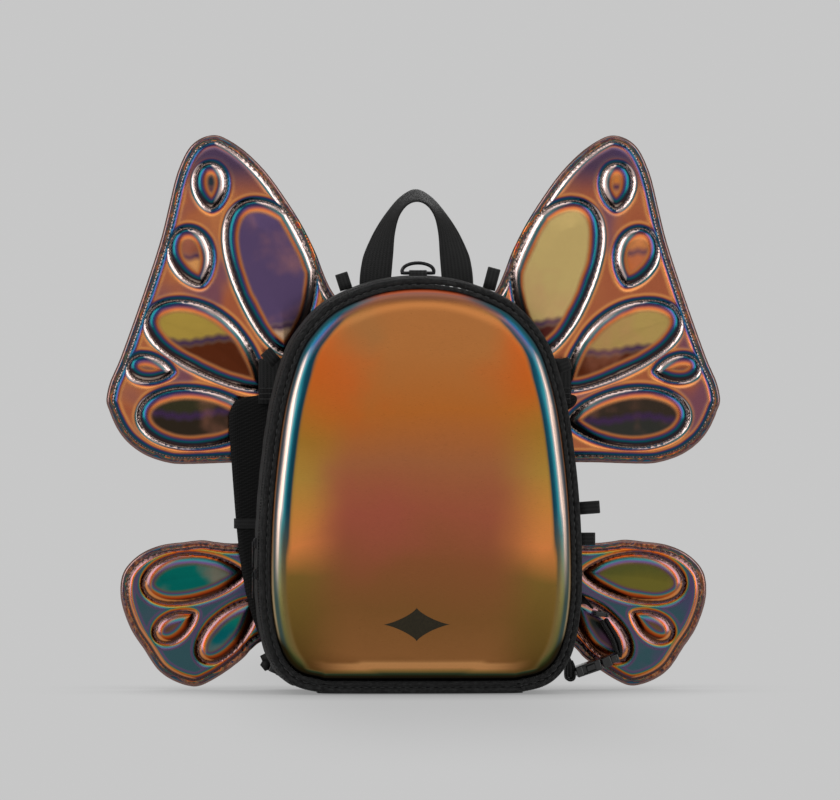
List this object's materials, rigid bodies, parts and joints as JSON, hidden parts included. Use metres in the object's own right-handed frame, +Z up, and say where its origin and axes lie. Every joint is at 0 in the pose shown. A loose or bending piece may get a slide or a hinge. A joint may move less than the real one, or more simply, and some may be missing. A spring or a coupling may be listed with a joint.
{
  "type": "winged mini backpack",
  "caption": "Small clamshell backpack with an iridescent moulded front, side straps and buckles, and quilted butterfly wings that swing from a central spine behind it.",
  "frame": {"origin": "centre of the flat bottom of the side gusset, on which the pack stands", "axes": "+X across the pack to the viewer's right, +Y towards the wearer, +Z up; the moulded front faces -Y"},
  "size_m": [0.4864, 0.1291, 0.4383],
  "materials": {
    "film": "iridescent metallised film on a soft backing, quilted and stitched in black",
    "fabric": "black woven polyester, tight plain weave",
    "mesh": "black three-layer air mesh with knitted ribs",
    "webbing": "black ribbed polyester webbing",
    "plastic": "black moulded acetal with soft gloss",
    "metal": "black coated zinc alloy",
    "foam": "grey closed-cell foam sheet",
    "ink": "dark printed film"
  },
  "bodies": {
    "pack": {"side_gusset": "fabric", "rear_binding": "webbing", "back_panel": "fabric", "body_zip_tape": "fabric", "inner_sleeve": "fabric", "frame_sheet": "foam", "back_pad_upper": "mesh", "back_pad_lower": "mesh", "d_ring_tab": "webbing", "loop_top_left": "webbing", "loop_top_right": "webbing", "loop_upper_left": "webbing", "loop_upper_right": "webbing", "loop_mid_right": "webbing", "loop_low_right": "webbing", "wing_spine": "webbing", "wing_link_upper": "webbing", "wing_link_lower": "webbing", "left_strap_tab": "webbing", "right_strap_tab": "webbing", "right_corner_anchor": "webbing", "left_corner_anchor": "webbing", "right_buckle_female": "plastic", "left_buckle_female": "plastic"},
    "lid": {"outer_welt": "fabric", "inner_welt": "fabric", "lid_band": "fabric", "lid_zip_tape": "fabric", "lid_lining": "fabric", "front_shell": "film", "emblem": "ink"},
    "haul_handle": {"haul_handle": "webbing"},
    "d_ring": {"d_ring": "metal"},
    "zip_slider_upper": {"zip_slider_upper": "metal"},
    "zip_slider_lower": {"zip_slider_lower": "metal"},
    "zip_pull_upper": {"zip_pull_upper": "metal"},
    "zip_pull_lower": {"zip_pull_lower": "metal"},
    "left_strap": {"left_strap_pad": "mesh", "left_keeper": "webbing"},
    "right_strap": {"right_strap_pad": "mesh"},
    "left_buckle": {"left_buckle_male": "plastic", "left_buckle_webbing": "webbing"},
    "right_buckle": {"right_buckle_male": "plastic", "right_buckle_webbing": "webbing", "tri_glide": "plastic", "right_strap_tail": "webbing"},
    "upper_left_wing": {"upper_left_wing_front_skin": "film", "upper_left_wing_core": "foam", "upper_left_wing_back_skin": "film"},
    "upper_right_wing": {"upper_right_wing_front_skin": "film", "upper_right_wing_core": "foam", "upper_right_wing_back_skin": "film"},
    "lower_left_wing": {"lower_left_wing_front_skin": "film", "lower_left_wing_core": "foam", "lower_left_wing_back_skin": "film"},
    "lower_right_wing": {"lower_right_wing_front_skin": "film", "lower_right_wing_core": "foam", "lower_right_wing_back_skin": "film"}
  },
  "joints": [
    {"name": "lid_open", "type": "hinge", "parent": "pack", "child": "lid", "pos_m": [0, -0.02955, 0.0004], "axis": [1, 0, 0], "range_deg": [0, 100]},
    {"name": "haul_handle_fold", "type": "hinge", "parent": "pack", "child": "haul_handle", "pos_m": [0, 0.026, 0.3265], "axis": [1, 0, 0], "range_deg": [-60, 60]},
    {"name": "d_ring_fold", "type": "hinge", "parent": "pack", "child": "d_ring", "pos_m": [0, 0.002, 0.3283], "axis": [1, 0, 0], "range_deg": [-70, 70]},
    {"name": "zip_slider_upper_slide", "type": "slide", "parent": "pack", "child": "zip_slider_upper", "axis": [0, 0, 1], "range_m": [0, 0.04]},
    {"name": "zip_pull_upper_swing", "type": "hinge", "parent": "zip_slider_upper", "child": "zip_pull_upper", "pos_m": [-0.13045, -0.02955, 0.119], "axis": [0, 1, 0], "range_deg": [0, 90]},
    {"name": "zip_slider_lower_slide", "type": "slide", "parent": "pack", "child": "zip_slider_lower", "axis": [0, 0, 1], "range_m": [-0.03, 0]},
    {"name": "zip_pull_lower_swing", "type": "hinge", "parent": "zip_slider_lower", "child": "zip_pull_lower", "pos_m": [-0.13045, -0.02955, 0.095], "axis": [0, 1, 0], "range_deg": [0, 90]},
    {"name": "upper_left_wing_swing", "type": "hinge", "parent": "pack", "child": "upper_left_wing", "pos_m": [-0.0215, 0.0684, 0], "axis": [0, 0, -1], "range_deg": [0, 60]},
    {"name": "upper_right_wing_swing", "type": "hinge", "parent": "pack", "child": "upper_right_wing", "pos_m": [0.0215, 0.0684, 0], "axis": [0, 0, 1], "range_deg": [0, 60]},
    {"name": "lower_left_wing_swing", "type": "hinge", "parent": "pack", "child": "lower_left_wing", "pos_m": [-0.0215, 0.0684, 0], "axis": [0, 0, -1], "range_deg": [0, 60]},
    {"name": "lower_right_wing_swing", "type": "hinge", "parent": "pack", "child": "lower_right_wing", "pos_m": [0.0215, 0.0684, 0], "axis": [0, 0, 1], "range_deg": [0, 60]},
    {"name": "left_strap_swing", "type": "hinge", "parent": "pack", "child": "left_strap", "pos_m": [-0.111, 0.05, 0.222], "axis": [0, 1, 0], "range_deg": [0, 40]},
    {"name": "right_strap_swing", "type": "hinge", "parent": "pack", "child": "right_strap", "pos_m": [0.111, 0.05, 0.222], "axis": [0, 1, 0], "range_deg": [0, 20]},
    {"name": "left_buckle_release", "type": "slide", "parent": "pack", "child": "left_buckle", "axis": [-0.9205, 0, 0.3907], "range_m": [0, 0.014]},
    {"name": "right_buckle_release", "type": "slide", "parent": "pack", "child": "right_buckle", "axis": [0.9438, 0, 0.3305], "range_m": [0, 0.014]}
  ]
}
